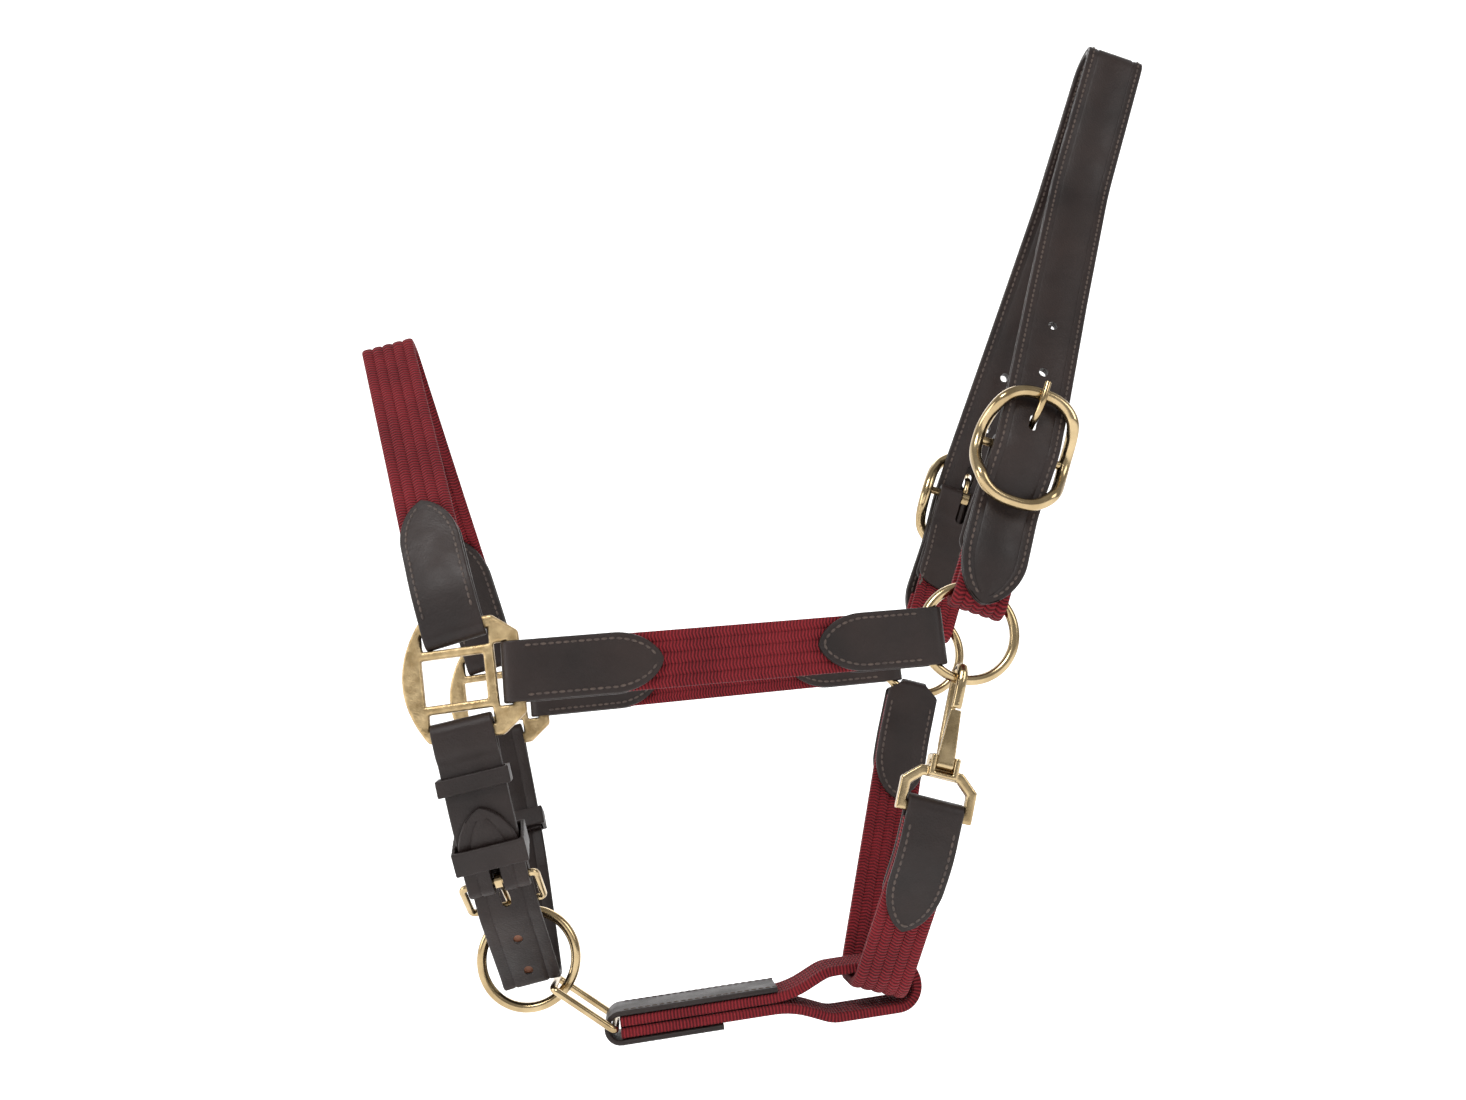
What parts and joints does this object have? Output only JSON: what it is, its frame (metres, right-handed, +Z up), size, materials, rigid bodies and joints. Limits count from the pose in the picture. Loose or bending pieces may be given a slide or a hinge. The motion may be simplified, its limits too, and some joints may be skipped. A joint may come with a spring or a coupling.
{
  "type": "leather headcollar",
  "caption": "Hinged horse headcollar of stitched leather and corded webbing, with brass squares, rings, buckles and a throat snap hook.",
  "frame": {"origin": "inner top of the crown strap's fold, where the poll carries the headcollar", "axes": "+Z up, +X from the nose towards the poll, +Y across the head from the near side to the far side"},
  "size_m": [0.3893, 0.134, 0.4876],
  "materials": {
    "leather": "satin",
    "webbing": "matt corded weave",
    "brass": "polished",
    "cast_brass": "matt cast"
  },
  "bodies": {
    "straps": {"crown_strap": "leather", "crown_lining": "leather", "near_chin_strap": "leather", "near_chin_chape": "leather", "chin_strap": "leather", "chin_fixed_keeper": "leather", "far_chin_keeper": "leather", "near_throat_chape": "leather", "far_throat_chape": "leather", "jaw_chape": "leather", "near_buckle_chape": "leather", "near_cheek_rear_chape": "leather", "near_cheek_front_chape": "leather", "near_nose_chape": "leather", "far_buckle_chape": "leather", "far_cheek_rear_chape": "leather", "far_cheek_front_chape": "leather", "far_nose_chape": "leather", "nose_webbing": "webbing", "throat_webbing": "webbing", "jaw_webbing": "webbing", "near_ring_webbing": "webbing", "near_cheek_webbing": "webbing", "far_ring_webbing": "webbing", "far_cheek_webbing": "webbing", "chin_buckle": "brass", "snap_body": "brass", "snap_gate_pin": "brass", "near_square": "cast_brass", "far_square": "cast_brass"},
    "near_cheek_ring": {"near_cheek_ring": "brass"},
    "far_cheek_ring": {"far_cheek_ring": "brass"},
    "chin_ring": {"chin_ring": "brass"},
    "snap_gate": {"snap_gate": "brass"},
    "near_crown_buckle": {"near_crown_buckle": "brass"},
    "far_crown_buckle": {"far_crown_buckle": "brass"},
    "near_crown_tongue": {"near_crown_tongue": "brass"},
    "far_crown_tongue": {"far_crown_tongue": "brass"},
    "chin_tongue": {"chin_tongue": "brass"},
    "chin_loop_keeper": {"chin_loop_keeper": "leather"},
    "jaw_link": {"jaw_link": "brass"}
  },
  "joints": [
    {"name": "near_ring_turn", "type": "hinge", "parent": "straps", "child": "near_cheek_ring", "pos_m": [-0.0988, -0.046, -0.3044], "axis": [0, 1, 0], "continuous": true},
    {"name": "far_ring_turn", "type": "hinge", "parent": "straps", "child": "far_cheek_ring", "pos_m": [-0.0988, 0.046, -0.3044], "axis": [0, 1, 0], "continuous": true},
    {"name": "chin_ring_turn", "type": "hinge", "parent": "straps", "child": "chin_ring", "pos_m": [-0.28803, 0, -0.44458], "axis": [0, 1, 0], "continuous": true},
    {"name": "snap_gate_open", "type": "hinge", "parent": "straps", "child": "snap_gate", "pos_m": [-0.11237, -0.05, -0.36079], "axis": [-0.9723, 0, 0.2339], "range_deg": [0, 11], "stiffness_Nm_per_rad": 0.02, "springref_deg": -20.05},
    {"name": "near_buckle_tilt", "type": "hinge", "parent": "straps", "child": "near_crown_buckle", "pos_m": [-0.07262, -0.0482, -0.2235], "axis": [-0.9511, 0, 0.309], "range_deg": [0, 2]},
    {"name": "far_buckle_tilt", "type": "hinge", "parent": "straps", "child": "far_crown_buckle", "pos_m": [-0.07262, 0.0482, -0.2235], "axis": [0.9511, 0, -0.309], "range_deg": [0, 2]},
    {"name": "near_tongue_lift", "type": "hinge", "parent": "straps", "child": "near_crown_tongue", "pos_m": [-0.07262, -0.0482, -0.2235], "axis": [0.9511, 0, -0.309], "range_deg": [0, 4]},
    {"name": "far_tongue_lift", "type": "hinge", "parent": "straps", "child": "far_crown_tongue", "pos_m": [-0.07262, 0.0482, -0.2235], "axis": [-0.9511, 0, 0.309], "range_deg": [0, 4]},
    {"name": "chin_tongue_lift", "type": "hinge", "parent": "straps", "child": "chin_tongue", "pos_m": [-0.29715, -0.047, -0.40707], "axis": [0.9717, 0, 0.2362], "range_deg": [0, 3]},
    {"name": "loop_keeper_slide", "type": "slide", "parent": "straps", "child": "chin_loop_keeper", "axis": [0.2188, 0.3773, -0.8999], "range_m": [-0.001, 0.002]},
    {"name": "jaw_link_swing", "type": "hinge", "parent": "straps", "child": "jaw_link", "pos_m": [-0.24952, 0, -0.47233], "axis": [0, 1, 0], "range_deg": [-1, 1]}
  ]
}
